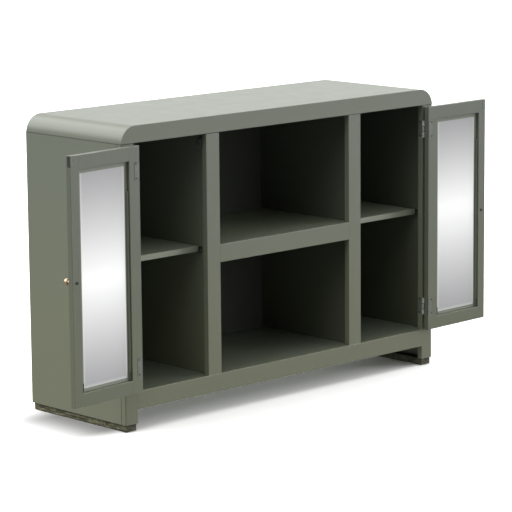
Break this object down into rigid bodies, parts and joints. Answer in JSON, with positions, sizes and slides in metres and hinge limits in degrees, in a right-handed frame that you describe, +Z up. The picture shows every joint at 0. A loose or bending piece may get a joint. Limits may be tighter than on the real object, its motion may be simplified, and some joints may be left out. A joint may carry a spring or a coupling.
{
  "type": "sideboard cabinet",
  "caption": "Low sideboard with rounded shoulders, glazed inset side doors on butt hinges, side shelves, an open shelved centre and foot skids.",
  "frame": {"origin": "on the floor, midway across the cabinet and midway between the foremost point of the open doors and the back", "axes": "+X to the right as seen by someone facing the front, +Y from the front to the back, +Z up"},
  "size_m": [1.6295, 0.4442, 0.822],
  "materials": {
    "painted_wood": "satin paint over smooth board",
    "back_panel_paint": "thin painted board, slightly duller than the frame",
    "skid_wood": "bare worn wood, stained by the floor",
    "pane_glass": "float glass with a pale etched face, satin, densest at mid height",
    "hardware_steel": "painted over in the body colour and rubbed bright on the edges",
    "darkened_steel": "dark, slightly rusty sheet",
    "magnet_poles": "ground edges",
    "catch_plastic": "moulded, dull",
    "knob_brass": "aged and slightly worn"
  },
  "bodies": {
    "cabinet": {"top_panel": "painted_wood", "top_rail": "painted_wood", "left_shoulder": "painted_wood", "right_shoulder": "painted_wood", "left_side_panel": "painted_wood", "right_side_panel": "painted_wood", "left_corner_stile": "painted_wood", "right_corner_stile": "painted_wood", "left_divider_stile": "painted_wood", "right_divider_stile": "painted_wood", "bottom_rail": "painted_wood", "middle_rail": "painted_wood", "bottom_panel": "painted_wood", "middle_shelf": "painted_wood", "left_divider_panel": "painted_wood", "right_divider_panel": "painted_wood", "back_panel": "back_panel_paint", "back_panel_screws": "hardware_steel", "left_side_shelf": "painted_wood", "right_side_shelf": "painted_wood", "shelf_clips": "darkened_steel", "shelf_clip_screws": "hardware_steel", "left_foot_skid": "skid_wood", "right_foot_skid": "skid_wood", "catch_bodies": "catch_plastic", "catch_magnets": "magnet_poles", "catch_screws": "hardware_steel", "frame_hinge_leaves": "hardware_steel", "frame_leaf_screws": "hardware_steel", "hinge_pins": "hardware_steel"},
    "left_door": {"left_door_hinge_stile": "painted_wood", "left_door_free_stile": "painted_wood", "left_door_top_rail": "painted_wood", "left_door_bottom_rail": "painted_wood", "left_door_pane": "pane_glass", "left_door_beads": "painted_wood", "left_door_bead_clips": "darkened_steel", "left_door_knob": "knob_brass", "left_door_knob_screw": "knob_brass", "left_door_strike": "darkened_steel", "left_door_strike_screw": "hardware_steel", "left_door_hinge_leaves": "hardware_steel", "left_door_leaf_screws": "hardware_steel"},
    "right_door": {"right_door_hinge_stile": "painted_wood", "right_door_free_stile": "painted_wood", "right_door_top_rail": "painted_wood", "right_door_bottom_rail": "painted_wood", "right_door_pane": "pane_glass", "right_door_beads": "painted_wood", "right_door_bead_clips": "darkened_steel", "right_door_knob": "knob_brass", "right_door_knob_screw": "knob_brass", "right_door_strike": "darkened_steel", "right_door_strike_screw": "hardware_steel", "right_door_hinge_leaves": "hardware_steel", "right_door_leaf_screws": "hardware_steel"}
  },
  "joints": [
    {"name": "left_door_hinge", "type": "hinge", "parent": "cabinet", "child": "left_door", "pos_m": [-0.5573, -0.17723, 0.4414], "axis": [0, 0, -1], "range_deg": [-174.3, 10.7]},
    {"name": "right_door_hinge", "type": "hinge", "parent": "cabinet", "child": "right_door", "pos_m": [0.5573, -0.17723, 0.4414], "axis": [0, 0, 1], "range_deg": [-181.75, 3.25]}
  ]
}
